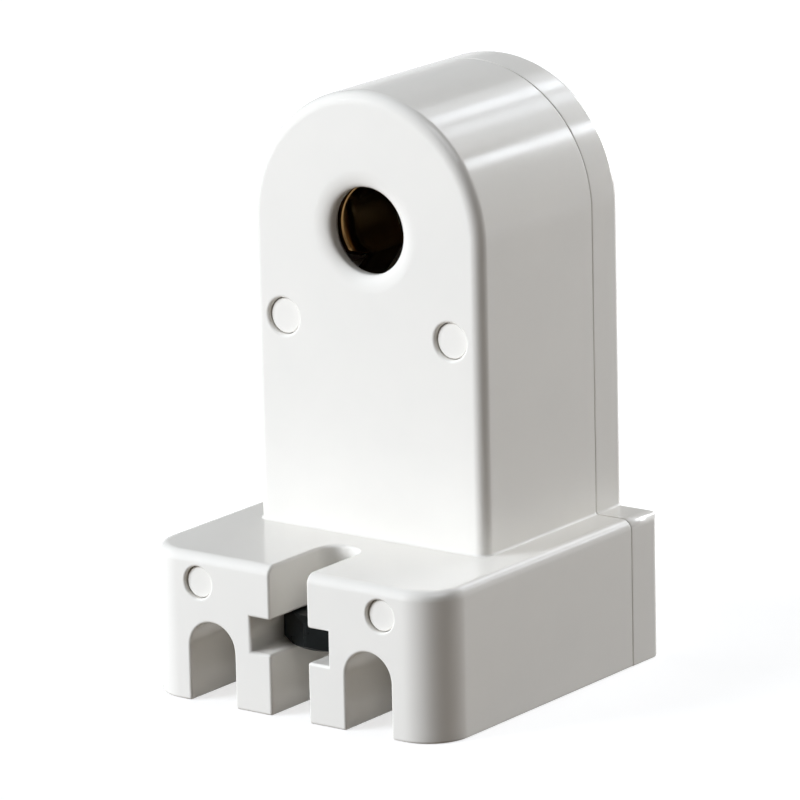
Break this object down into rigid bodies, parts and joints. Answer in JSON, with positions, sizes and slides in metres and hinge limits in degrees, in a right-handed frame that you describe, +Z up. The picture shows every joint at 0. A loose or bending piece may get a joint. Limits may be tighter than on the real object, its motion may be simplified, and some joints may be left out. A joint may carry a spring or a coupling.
{
  "type": "fluorescent lamp holder",
  "caption": "Pedestal lamp holder: a round-topped tower with a single-pin socket stands on a slotted base with arched wire channels.",
  "frame": {"origin": "centre of the base's underside, at the middle of the part's box in plan", "axes": "+Z up from the mounting surface, +Y from the pin hole's face back to the cover, +X to the right seen from the front"},
  "size_m": [0.0344, 0.0356, 0.0569],
  "materials": {
    "white_moulding": "glossy white moulding with a soft moulded surface",
    "contact_bronze": "rolled phosphor bronze strip",
    "spring_steel": "plain spring strip",
    "black_steel": "blackened steel"
  },
  "bodies": {
    "root": {"front_housing": "white_moulding", "back_cover": "white_moulding", "left_contact": "contact_bronze", "right_contact": "contact_bronze", "left_lead_grip": "spring_steel", "right_lead_grip": "spring_steel", "mounting_nut": "black_steel"}
  },
  "joints": []
}
